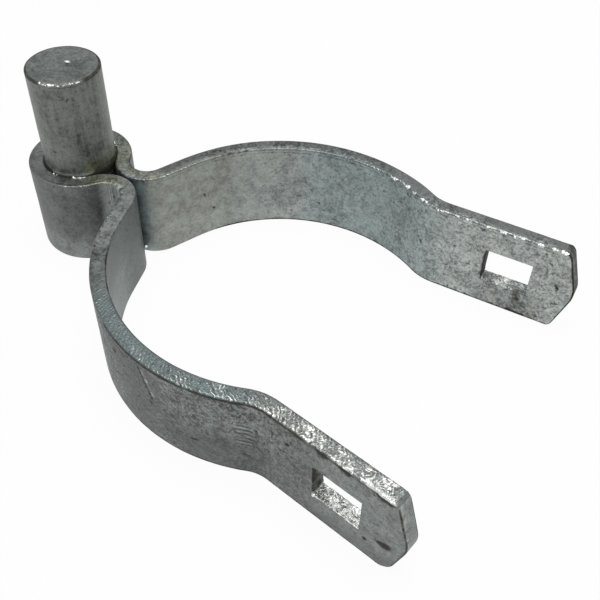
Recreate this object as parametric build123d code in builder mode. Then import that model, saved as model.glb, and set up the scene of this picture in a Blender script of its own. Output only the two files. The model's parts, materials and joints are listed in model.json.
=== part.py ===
"""Gate post hinge: one bent strap that clamps round a post, with a fixed pin in its eye.

Frame: the post's axis is Z through the origin, the strap's lower edge is at z = 0, the ears
point along +X and the pin stands on the -X side.
"""
import os
from math import asin, atan2, cos, degrees, hypot, pi, radians, sin, sqrt

from build123d import *

os.makedirs("parts", exist_ok=True)

# Stock: flat bar for the strap and round bar for the pin
strap_width = 25.4
strap_thickness = 4.0
strap_edge_chamfer = 0.5
seat_diameter = 19.05
journal_diameter = 18.6
journal_length = 27.1
journal_top_chamfer = 0.6
seat_foot_chamfer = 1.0

# Bends, with radii on the middle of the strap's thickness and angles in degrees
eye_clearance = 0.05
pinch_gap = 0.6
pinch_radius = 6.8
shank_length = 7.8
bow_diameter = 82.5
knee_radius = 12.0
knee_angle = 31.0
ear_splay = 6.0

# Ears, each measured along the ear from the nose of its tip before the nose is rounded
ear_length = 36.5
tip_rise = 3.8
tip_nose_round = 8.0
tip_corner_round = 1.5
slot_length = 12.2
slot_height = 10.0
slot_corner_round = 0.6
slot_setback = 11.8

half_thickness = strap_thickness / 2
eye_radius = seat_diameter / 2 + eye_clearance + half_thickness
bow_radius = bow_diameter / 2 + half_thickness

# Each pinch bend touches the bow's shank and the eye, with half the gap to the XZ plane
pinch_y = -(pinch_radius + half_thickness + pinch_gap / 2)
pinch_to_post = hypot(bow_radius + pinch_radius, shank_length)
pinch_x = -sqrt(pinch_to_post**2 - pinch_y**2)
pinch_angle = asin(-pinch_y / (eye_radius + pinch_radius))
pin_x = pinch_x - (eye_radius + pinch_radius) * cos(pinch_angle)

# How far each bend of the -Y half turns, in degrees, counter-clockwise seen from above
shank_heading = degrees(atan2(-pinch_y, -pinch_x) - atan2(bow_radius + pinch_radius, shank_length))
eye_turn = degrees(pi - pinch_angle)
pinch_turn = shank_heading - (eye_turn - 90)
bow_turn = knee_angle - ear_splay - shank_heading
knee_turn = -knee_angle


def face_line(shift: float) -> tuple[Vector, Vector]:
    """Draw one face of the -Y half of the strap, from the back of the eye to the ear's end.

    Args:
        shift: distance from the middle of the thickness, positive towards the pin and post.

    Returns:
        The line's start, on the XZ plane, and its end.
    """
    eye = JernArc((pin_x - eye_radius + shift, 0), (0, -1), eye_radius - shift, eye_turn)
    pinch = JernArc(eye @ 1, eye % 1, pinch_radius + shift, pinch_turn)
    shank = Line(pinch @ 1, pinch @ 1 + (pinch % 1) * shank_length)
    bow = JernArc(shank @ 1, shank % 1, bow_radius - shift, bow_turn)
    knee = JernArc(bow @ 1, bow % 1, knee_radius + shift, knee_turn)
    ear = Line(knee @ 1, knee @ 1 + (knee % 1) * ear_length)
    return eye @ 0, ear @ 1


# What is cropped from a square bar end to leave the pointed tip, and the slot punched behind it
with BuildSketch() as ear_cuts:
    crop_reach = tip_rise + 2 * tip_corner_round
    Rectangle(2 * crop_reach, 2 * strap_width)
    with BuildSketch(mode=Mode.SUBTRACT) as kept_tip:
        with BuildLine() as tip_outline:
            lower_edge = Line((-crop_reach, -strap_width / 2), (-tip_rise, -strap_width / 2))
            upper_edge = Line((-tip_rise, strap_width / 2), (-crop_reach, strap_width / 2))
            Polyline(lower_edge @ 1, (0, 0), upper_edge @ 0)
            Line(upper_edge @ 1, lower_edge @ 0)
        make_face()
        fillet(kept_tip.vertices().group_by(Axis.X)[-2], radius=tip_corner_round)
        fillet(kept_tip.vertices().group_by(Axis.X)[-1], radius=tip_nose_round)
    with Locations((-slot_setback - slot_length / 2, 0)):
        RectangleRounded(slot_length, slot_height, slot_corner_round)

with BuildPart() as strap:
    with BuildSketch() as band:
        with BuildLine() as outline:
            post_side_start, post_side_end = face_line(half_thickness)
            outer_side_start, outer_side_end = face_line(-half_thickness)
            Line(post_side_start, outer_side_start)
            Line(post_side_end, outer_side_end)
        make_face()
        mirror(about=Plane.XZ)
    extrude(amount=strap_width)
    long_edges = strap.edges().group_by(Axis.Z)
    chamfer(long_edges[0] + long_edges[-1], length=strap_edge_chamfer)

    tip = (post_side_end + outer_side_end) / 2
    for side in (-1, 1):
        along_ear = Vector(cos(radians(ear_splay)), side * sin(radians(ear_splay)), 0)
        ear_plane = Plane(
            origin=(tip.X, -side * tip.Y, strap_width / 2),
            x_dir=along_ear,
            z_dir=along_ear.cross(Vector(0, 0, 1)),
        )
        with BuildSketch(ear_plane):
            add(ear_cuts.sketch)
        extrude(amount=strap_thickness, both=True, mode=Mode.SUBTRACT)

with BuildPart() as pin:
    with Locations((pin_x, 0, 0)):
        Cylinder(seat_diameter / 2, strap_width, align=(Align.CENTER, Align.CENTER, Align.MIN))
    with Locations((pin_x, 0, strap_width)):
        Cylinder(journal_diameter / 2, journal_length, align=(Align.CENTER, Align.CENTER, Align.MIN))
    chamfer(pin.edges().sort_by(Axis.Z)[-1], length=journal_top_chamfer)
    chamfer(pin.edges().sort_by(Axis.Z)[0], length=seat_foot_chamfer)

strap.part.label = "strap"
export_step(strap.part, "parts/strap.step")
pin.part.label = "pin"
export_step(pin.part, "parts/pin.step")
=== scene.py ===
"""Dresses the gate post hinge: one bent strap with slotted ears, its pin, and their zinc coat.

The bar is laid out flat, bent by a Geometry Nodes tree along the strap's bend line, and coated
with zinc by a second tree. Lengths are in metres unless a name or docstring says millimetres.
"""
from __future__ import annotations

import json
import logging
import math
from collections.abc import Sequence
from dataclasses import dataclass
from enum import Enum
from typing import Protocol

import bpy
import numpy as np
from mathutils import Matrix, Vector

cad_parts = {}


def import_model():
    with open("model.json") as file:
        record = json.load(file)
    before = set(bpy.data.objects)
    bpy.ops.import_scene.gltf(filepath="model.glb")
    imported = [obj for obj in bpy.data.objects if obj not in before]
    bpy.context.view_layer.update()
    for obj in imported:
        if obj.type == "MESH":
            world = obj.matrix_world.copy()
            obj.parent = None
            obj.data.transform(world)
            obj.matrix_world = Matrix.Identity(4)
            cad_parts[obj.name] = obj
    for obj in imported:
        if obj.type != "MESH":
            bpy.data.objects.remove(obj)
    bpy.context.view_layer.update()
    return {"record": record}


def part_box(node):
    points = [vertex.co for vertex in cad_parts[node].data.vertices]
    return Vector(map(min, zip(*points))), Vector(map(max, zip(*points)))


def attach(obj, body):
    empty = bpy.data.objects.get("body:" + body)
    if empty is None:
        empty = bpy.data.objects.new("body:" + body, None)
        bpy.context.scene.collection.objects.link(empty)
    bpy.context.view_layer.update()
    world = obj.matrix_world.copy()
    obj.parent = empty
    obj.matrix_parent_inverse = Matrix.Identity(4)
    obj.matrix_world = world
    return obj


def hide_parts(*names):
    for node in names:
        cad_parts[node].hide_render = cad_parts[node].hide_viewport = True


LOG = logging.getLogger("gate_post_hinge")
MM = 0.001
FLAT_ATTRIBUTE = "flat"
BEAD_ATTRIBUTE = "bead_radius"
NODE_SPACING = 180.0
NOISE_MIDDLE = 0.5

Colour = tuple[float, float, float, float]
Triple = tuple[float, float, float]
Span = tuple[float, float]
Wire = bpy.types.NodeSocket
Group = bpy.types.NodeTree
Piece = bpy.types.Object
Feed = Wire | float | int | tuple | str
Feeds = dict[str | int, Feed]
Marks = dict[str, Wire]


class Tree(Enum):
    """The kinds of node group."""

    SHADER = "ShaderNodeTree"
    GEOMETRY = "GeometryNodeTree"


class Socket(Enum):
    """The kinds of socket that a node group has."""

    NUMBER = "NodeSocketFloat"
    COUNT = "NodeSocketInt"
    VECTOR = "NodeSocketVector"
    GEOMETRY = "NodeSocketGeometry"
    OBJECT = "NodeSocketObject"
    MATERIAL = "NodeSocketMaterial"


class Coat(Enum):
    """What each vertex tells its finish about the coat there, and about the light and shade painted on it.
    """

    CRUST = "crust"
    # Real stains, with painted shade: dark lines under rims and beads, in gaps and slot walls, and at the
    # tips.
    GRIME = "grime"
    TINT = "tint"
    # The zinc's own lighter and darker tone, with painted light and shade where some faces are made lighter
    # or darker for the light they get.
    TONE = "tone"
    PITS = "pits"
    PRESS = "press"
    FOLDS = "folds"


class Face(Enum):
    """The parts of a piece's surface that its coats are laid on."""

    POST = "post side of the bar"
    OUTER = "outer side of the bar"
    TOP = "top edge of the bar"
    TOP_POST_RIM = "rim between the top edge and the post side"
    TOP_OUTER_RIM = "rim between the top edge and the outer side"
    SLOT = "wall of a slot"
    TIP = "end wall of the bar"
    TIP_RIM = "rim round the end wall"
    SIDE = "round side of the pin"
    CROWN = "top of the pin"
    CROWN_RIM = "rim of the pin's top"


def rise(values: np.ndarray, low: float, high: float) -> np.ndarray:
    """Rise smoothly from 0 at low to 1 at high."""
    share = np.clip((values - low) / (high - low), 0.0, 1.0)
    return share * share * (3.0 - 2.0 * share)


def window(values: np.ndarray, low: float, high: float, fade: float) -> np.ndarray:
    """Stay at 1 between low and high, and fall smoothly to 0 over the fade on both sides."""
    return rise(values, low - fade, low) * (1.0 - rise(values, high, high + fade))


def spread(start: float, end: float, step: float) -> np.ndarray:
    """Divide a stretch evenly into steps no longer than the one given, without its end."""
    return np.linspace(start, end, max(1, math.ceil((end - start) / step)), endpoint=False)


class NodeSheet:
    """Writes one node tree: adds nodes, feeds their inputs and sets them out in a row."""

    def __init__(self, tree: Group) -> None:
        """Keep the tree that is written."""
        self.tree = tree

    @classmethod
    def blank(cls, owner: bpy.types.Material | bpy.types.World) -> NodeSheet:
        """Empty the node tree of a material or world.

        Args:
            owner: the material or world.

        Returns:
            A sheet on the empty tree.
        """
        owner.use_nodes = True
        owner.node_tree.nodes.clear()
        return cls(owner.node_tree)

    def add(self, kind: str, feeds: Feeds | None = None, **settings: object) -> bpy.types.Node:
        """Add a node.

        Args:
            kind: Blender's name for the node's type.
            feeds: what goes into each input, a socket to link or a value to set.
            settings: the node's own settings.

        Returns:
            The new node.
        """
        node = self.tree.nodes.new(kind)
        node.location = (NODE_SPACING * len(self.tree.nodes), 0.0)
        for name, setting in settings.items():
            setattr(node, name, setting)
        for name, feed in (feeds or {}).items():
            self.feed(node.inputs[name], feed)
        return node

    def feed(self, socket: Wire, feed: Feed) -> None:
        """Fill one input.

        Args:
            socket: the input.
            feed: the socket that is linked to it, or the value that it gets.
        """
        if isinstance(feed, Wire):
            self.tree.links.new(feed, socket)
        else:
            socket.default_value = feed

    def output(self, kind: str, feeds: Feeds | None = None, **settings: object) -> Wire:
        """Add a node and return its first output."""
        return self.add(kind, feeds, **settings).outputs[0]

    def math(self, operation: str, first: Feed, second: Feed = 0.0) -> Wire:
        """Put one or two values through a Math node."""
        return self.output("ShaderNodeMath", {0: first, 1: second}, operation=operation)

    def times(self, first: Feed, second: Feed) -> Wire:
        """Multiply two values."""
        return self.math("MULTIPLY", first, second)

    def plus(self, first: Feed, second: Feed) -> Wire:
        """Add two values."""
        return self.math("ADD", first, second)

    def minus(self, first: Feed, second: Feed) -> Wire:
        """Take the second value from the first."""
        return self.math("SUBTRACT", first, second)

    def over(self, first: Feed, second: Feed) -> Wire:
        """Divide the first value by the second."""
        return self.math("DIVIDE", first, second)

    def centred(self, noise: Feed) -> Wire:
        """Move noise to lie around 0."""
        return self.minus(noise, NOISE_MIDDLE)

    def vector_math(self, operation: str, first: Feed, second: Feed) -> Wire:
        """Put two vectors through a Vector Math node."""
        return self.output("ShaderNodeVectorMath", {0: first, 1: second}, operation=operation)

    def scaled(self, vector: Feed, factor: Feed) -> Wire:
        """Make a vector longer or shorter by a factor."""
        return self.output("ShaderNodeVectorMath", {"Vector": vector, "Scale": factor}, operation="SCALE")

    def parts_of(self, vector: Feed) -> bpy.types.bpy_prop_collection:
        """Take a vector apart into X, Y and Z."""
        return self.add("ShaderNodeSeparateXYZ", {0: vector}).outputs

    def vector_of(self, **parts: Feed) -> Wire:
        """Make a vector from its X, Y and Z."""
        return self.output("ShaderNodeCombineXYZ", parts)

    def rise(self, value: Feed, low: Feed, high: Feed, bottom: Feed = 0.0, top: Feed = 1.0) -> Wire:
        """Map a value smoothly from the span low to high onto bottom to top."""
        feeds = {"Value": value, "From Min": low, "From Max": high, "To Min": bottom, "To Max": top}
        return self.output("ShaderNodeMapRange", feeds, interpolation_type="SMOOTHSTEP")

    def above(self, value: Feed, level: Feed, soft: float) -> Wire:
        """Rise smoothly from 0 at a level to 1 at a soft edge above it."""
        return self.rise(value, level, self.plus(level, soft))

    def mix_value(self, share: Feed, first: Feed, second: Feed) -> Wire:
        """Mix two values, on the sockets that the Mix node has for them."""
        return self.add("ShaderNodeMix", {0: share, 2: first, 3: second}, data_type="FLOAT").outputs[0]

    def mix_colour(self, share: Feed, first: Feed, second: Feed) -> Wire:
        """Mix two colours, on the sockets that the Mix node has for them."""
        return self.add("ShaderNodeMix", {0: share, 6: first, 7: second}, data_type="RGBA").outputs[2]

    def noise(
        self, vector: Feed, size: Feed, detail: float = 2.0, roughness: float = 0.5, distortion: float = 0.0
    ) -> Wire:
        """Read noise, from 0 to 1 around its middle.

        Args:
            vector: the place.
            size: the size of the noise's features.
            detail: how many finer layers it has.
            roughness: how strong the finer layers are.
            distortion: how far it is swirled.

        Returns:
            The noise.
        """
        feeds = {"Vector": vector, "Scale": self.over(1.0, size), "Detail": detail}
        feeds |= {"Roughness": roughness, "Distortion": distortion}
        return self.output("ShaderNodeTexNoise", feeds)

    def sine(self, turns: Feed) -> Wire:
        """Give the sine of a number of turns."""
        return self.math("SINE", self.times(turns, 2 * math.pi))

    def contours(self, vector: Feed, size: Feed, count: float) -> Wire:
        """Draw curling contour lines through noise of a given feature size, from -1 to 1."""
        ground = self.noise(vector, size, detail=2.0, distortion=1.0)
        return self.sine(self.times(ground, count))

    def group(self, tree: Group, feeds: Feeds) -> bpy.types.bpy_prop_collection:
        """Place a shader node group and return its outputs."""
        return self.add("ShaderNodeGroup", feeds, node_tree=tree).outputs

    def attribute(self, name: str, output: str = "Fac") -> Wire:
        """Read one of the piece's own attributes in a material."""
        return self.add("ShaderNodeAttribute", attribute_name=name).outputs[output]

    def stored(self, name: str) -> Wire:
        """Read one of the piece's own attributes in a Geometry Nodes tree."""
        return self.output("GeometryNodeInputNamedAttribute", {"Name": name}, data_type="FLOAT")


class GroupSheet(NodeSheet):
    """Writes one node group, from its Group Input to its Group Output."""

    def __init__(
        self, name: str, kind: Tree, inputs: dict[str, Socket | float | int], outputs: tuple[str, ...]
    ) -> None:
        """Make the group with its sockets.

        Args:
            name: the group's name.
            kind: the kind of group.
            inputs: each input's starting value, or its socket where it has none.
            outputs: the outputs' names: geometry in a Geometry Nodes tree, numbers in a shader group.
        """
        super().__init__(bpy.data.node_groups.new(name, kind.value))
        interface = self.tree.interface
        for label, start in inputs.items():
            number = Socket.COUNT if isinstance(start, int) else Socket.NUMBER
            fits = start if isinstance(start, Socket) else number
            socket = interface.new_socket(name=label, in_out="INPUT", socket_type=fits.value)
            if not isinstance(start, Socket):
                socket.default_value = start
        put_out = Socket.GEOMETRY if kind is Tree.GEOMETRY else Socket.NUMBER
        for label in outputs:
            interface.new_socket(name=label, in_out="OUTPUT", socket_type=put_out.value)
        source = self.add("NodeGroupInput").outputs
        self.inputs = [source[label] for label in inputs]
        self.result = self.add("NodeGroupOutput").inputs

    def give(self, **results: Wire) -> Group:
        """Link the results to the group's outputs.

        Args:
            results: the socket that each output gets.

        Returns:
            The finished group.
        """
        for name, socket in results.items():
            self.tree.links.new(socket, self.result[name])
        return self.tree


def run_tree(piece: Piece, tree: Group, settings: dict[str, object]) -> None:
    """Give a piece a Geometry Nodes tree, with the tree's inputs set by their identifiers.

    Args:
        piece: the piece.
        tree: the tree.
        settings: what each input is set to, by its name.
    """
    modifier = piece.modifiers.new(tree.name, "NODES")
    modifier.node_group = tree
    for item in tree.interface.items_tree:
        if item.in_out == "INPUT" and item.name in settings:
            modifier[item.identifier] = settings[item.name]


def settle(piece: Piece) -> None:
    """Replace a piece's mesh by what its modifiers make of it, and remove them.

    Args:
        piece: the piece.
    """
    graph = bpy.context.evaluated_depsgraph_get()
    evaluated = piece.evaluated_get(graph)
    made = bpy.data.meshes.new_from_object(evaluated, preserve_all_data_layers=True, depsgraph=graph)
    made.name = piece.name
    piece.modifiers.clear()
    piece.data = made


def new_object(name: str, data: bpy.types.ID) -> Piece:
    """Put a new object in the scene.

    Args:
        name: its name.
        data: its mesh, curve, lamp or camera.

    Returns:
        The object, at the origin.
    """
    made = bpy.data.objects.new(name, data)
    bpy.context.scene.collection.objects.link(made)
    return made


def new_piece(name: str, vertices: np.ndarray, faces: Sequence[Sequence[int]]) -> Piece:
    """Make a mesh object at the origin.

    Args:
        name: its name.
        vertices: the vertices' places.
        faces: the vertices of each face.

    Returns:
        The object.
    """
    mesh = bpy.data.meshes.new(name)
    mesh.from_pydata(vertices.tolist(), [], faces)
    return new_object(name, mesh)


def store(mesh: bpy.types.Mesh, name: str, amounts: np.ndarray) -> None:
    """Store a number at each vertex of a mesh."""
    attribute = mesh.attributes.new(name, "FLOAT", "POINT")
    attribute.data.foreach_set("value", amounts.astype(np.float32))


def write_coats(mesh: bpy.types.Mesh, coats: dict[Coat, np.ndarray], flat: np.ndarray) -> None:
    """Store the coat's amounts and the flat place of each vertex on a mesh.

    Args:
        mesh: the mesh that gets the attributes.
        coats: the amount of each coat at every vertex.
        flat: every vertex's place along, out of and across the bar.
    """
    for coat in Coat:
        store(mesh, coat.value, coats.get(coat, np.zeros(len(flat))))
    places = mesh.attributes.new(FLAT_ATTRIBUTE, "FLOAT_VECTOR", "POINT")
    places.data.foreach_set("vector", flat.astype(np.float32).ravel())


class ZincGroups:
    """The shader node groups that the zinc finishes share."""

    def __init__(self) -> None:
        """Build each group once."""
        self.cloud = self.build_cloud()
        self.blotches = self.build_blotches()
        self.scribbles = self.build_scribbles()
        self.crust = self.build_crust()
        self.ragged = self.build_ragged()
        self.lines = self.build_lines()
        self.strokes = self.build_strokes()

    @staticmethod
    def build_cloud() -> Group:
        """Build the broad clouds of dull zinc, the patches in them, their fine mottle and its worms.

        Returns:
            The finished group.
        """
        inputs = {
            "Vector": Socket.VECTOR,
            "Cloud Size": 9 * MM,
            "Patch Size": 2.6 * MM,
            "Mottle Size": 0.8 * MM,
            "Worm Size": 2.4 * MM,
        }
        sheet = GroupSheet("zinc_cloud", Tree.SHADER, inputs, ("Cloud", "Patch", "Mottle", "Worms"))
        vector, cloud_size, patch_size, mottle_size, worm_size = sheet.inputs
        cloud = sheet.noise(vector, cloud_size, detail=4.0, roughness=0.6)
        patch = sheet.noise(vector, patch_size, detail=3.0, roughness=0.6, distortion=0.6)
        mottle = sheet.noise(vector, mottle_size, detail=3.0, roughness=0.7)
        worms = sheet.contours(vector, worm_size, count=4.0)
        return sheet.give(
            Cloud=sheet.rise(cloud, low=0.3, high=0.7),
            Patch=sheet.rise(patch, low=0.3, high=0.7),
            Mottle=sheet.rise(mottle, low=0.28, high=0.72),
            Worms=sheet.rise(worms, low=-1.0, high=1.0),
        )

    @staticmethod
    def build_blotches() -> Group:
        """Build scattered dark pits that thicken with an amount.

        Returns:
            The finished group.
        """
        bare_level = 0.88
        amount_pull = 0.2
        cluster_size = 6.0
        cluster_pull = 0.25
        inputs = {"Vector": Socket.VECTOR, "Size": 1.6 * MM, "Amount": 0.5}
        sheet = GroupSheet("dark_blotches", Tree.SHADER, inputs, ("Mask",))
        vector, size, amount = sheet.inputs
        spots = sheet.noise(vector, size, detail=3.0, roughness=0.6)
        clusters = sheet.noise(vector, sheet.times(size, cluster_size), detail=2.0)
        pull = sheet.plus(sheet.times(amount, amount_pull), sheet.times(clusters, cluster_pull))
        return sheet.give(Mask=sheet.above(spots, sheet.minus(bare_level, pull), soft=0.07))

    @staticmethod
    def build_scribbles() -> Group:
        """Build short thin dark strokes that wander over the surface.

        Returns:
            The finished group.
        """
        bare_level = 0.68
        amount_pull = 0.24
        break_size = 0.6
        inputs = {"Vector": Socket.VECTOR, "Size": 3 * MM, "Amount": 0.5}
        sheet = GroupSheet("dark_scribbles", Tree.SHADER, inputs, ("Mask",))
        vector, size, amount = sheet.inputs
        ground = sheet.noise(vector, size, detail=3.0, roughness=0.55)
        off_line = sheet.math("ABSOLUTE", sheet.centred(ground))
        line = sheet.rise(off_line, low=0.004, high=0.02, bottom=1.0, top=0.0)
        breaks = sheet.noise(vector, sheet.times(size, break_size), detail=1.0)
        level = sheet.minus(bare_level, sheet.times(amount, amount_pull))
        return sheet.give(Mask=sheet.times(line, sheet.above(breaks, level, soft=0.1)))

    @staticmethod
    def build_crust() -> Group:
        """Build thick zinc: curled where there is much of it, with slanted ridges where there is less, and
        masks for painted glints on its crests and painted shade in its troughs.

        Returns:
            The finished group.
        """
        broad_size, fine_size, fleck_size = 2.5, 0.5, 0.9
        broad_warp, fine_warp = 3.0, 1.4
        fleck_share, fleck_swing = 0.62, 3.4
        grain_calm, wave_lift = 0.6, 0.38
        bare_level, patch_pull, crust_pull = 0.84, 1.1, 0.46
        inputs = {
            "Vector": Socket.VECTOR,
            "Flat": Socket.VECTOR,
            "Crust": 0.5,
            "Grain Size": 0.6 * MM,
            "Curl Size": 2.4 * MM,
            "Ridge Spacing": 1.1 * MM,
            "Ridge Slant": 0.8,
        }
        sheet = GroupSheet("thick_zinc", Tree.SHADER, inputs, ("Edge", "Bright", "Crease", "Height"))
        vector, flat, crust, grain_size, curl_size, ridge_spacing, ridge_slant = sheet.inputs
        grain = sheet.noise(vector, grain_size, detail=2.0, roughness=0.6)
        broad = sheet.noise(vector, sheet.times(curl_size, broad_size), detail=2.0)
        fine = sheet.noise(vector, sheet.times(curl_size, fine_size), detail=1.0)

        place = sheet.parts_of(flat)
        leaned = sheet.plus(place["X"], sheet.times(place["Y"], ridge_slant))
        warp = sheet.plus(sheet.times(broad, broad_warp), sheet.times(fine, fine_warp))
        ridges = sheet.sine(sheet.plus(sheet.over(leaned, ridge_spacing), warp))
        unbroken = sheet.rise(fine, low=0.36, high=0.6, bottom=0.25)
        strong = sheet.rise(crust, low=0.4, high=0.56, bottom=0.4)
        ridges = sheet.times(sheet.times(unbroken, strong), ridges)

        curls = sheet.contours(vector, curl_size, count=4.0)
        spots = sheet.times(curl_size, fleck_size)
        flecks = sheet.centred(sheet.noise(vector, spots, detail=2.0, roughness=0.55, distortion=1.6))
        curled = sheet.mix_value(fleck_share, curls, sheet.times(flecks, fleck_swing))
        thick = sheet.rise(crust, low=0.45, high=0.95, bottom=0.15, top=0.85)
        wave = sheet.mix_value(thick, ridges, curled)
        lift = sheet.plus(sheet.mix_value(grain_calm, grain, NOISE_MIDDLE), sheet.times(wave, wave_lift))
        pull = sheet.plus(sheet.times(sheet.centred(broad), patch_pull), sheet.times(crust, crust_pull))
        edge = sheet.rise(crust, low=0.04, high=0.3)
        # Painted glints on the crests of the thick zinc, and painted shade in its troughs.
        trough = sheet.rise(wave, low=-0.8, high=-0.3, bottom=1.0, top=0.0)
        return sheet.give(
            Edge=edge,
            Bright=sheet.times(edge, sheet.above(lift, sheet.minus(bare_level, pull), soft=0.46)),
            Crease=sheet.times(sheet.times(edge, trough), sheet.rise(grain, low=0.40, high=0.55)),
            Height=sheet.times(edge, lift),
        )

    @staticmethod
    def build_ragged() -> Group:
        """Build a patch with torn edges from a soft amount.

        Returns:
            The finished group.
        """
        inputs = {"Vector": Socket.VECTOR, "Amount": 0.5, "Tear Size": 2 * MM}
        sheet = GroupSheet("ragged_patch", Tree.SHADER, inputs, ("Mask",))
        vector, amount, tear_size = sheet.inputs
        tears = sheet.noise(vector, tear_size, detail=4.0, roughness=0.65)
        torn = sheet.rise(sheet.plus(amount, sheet.centred(tears)), low=0.3, high=0.85)
        return sheet.give(Mask=sheet.times(torn, sheet.rise(amount, low=0.02, high=0.25)))

    @staticmethod
    def build_lines() -> Group:
        """Build fine uneven lines that run along X of their vector and follow each other along Z.

        Returns:
            The finished group.
        """
        inputs = {"Vector": Socket.VECTOR, "Spacing": 0.8 * MM, "Run": 12 * MM}
        sheet = GroupSheet("drawn_lines", Tree.SHADER, inputs, ("Lines",))
        vector, spacing, run = sheet.inputs
        place = sheet.parts_of(vector)
        stretched = sheet.vector_of(X=sheet.over(place["X"], run), Z=sheet.over(place["Z"], spacing))
        return sheet.give(Lines=sheet.noise(stretched, 1.0))

    @staticmethod
    def build_strokes() -> Group:
        """Build short level ridges and the grooves under them, which follow each other along Z, for relief
        and for painted highlights and painted shade.

        Returns:
            The finished group.
        """
        sway_turns = 1.2
        break_size = 0.4
        inputs = {"Vector": Socket.VECTOR, "Spacing": 1 * MM, "Sway Size": 6 * MM, "Amount": 0.0}
        sheet = GroupSheet("pressed_strokes", Tree.SHADER, inputs, ("Ridge", "Groove"))
        vector, spacing, sway_size, amount = sheet.inputs
        sway = sheet.times(sheet.noise(vector, sway_size, detail=1.0), sway_turns)
        wave = sheet.sine(sheet.plus(sheet.over(sheet.parts_of(vector)["Z"], spacing), sway))
        breaks = sheet.noise(vector, sheet.times(sway_size, break_size), detail=1.0)
        kept = sheet.times(amount, sheet.rise(breaks, low=0.2, high=0.45))
        return sheet.give(
            Ridge=sheet.times(kept, sheet.rise(wave, low=0.35, high=0.95)),
            Groove=sheet.times(kept, sheet.rise(wave, low=-0.35, high=-0.95)),
        )


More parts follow.
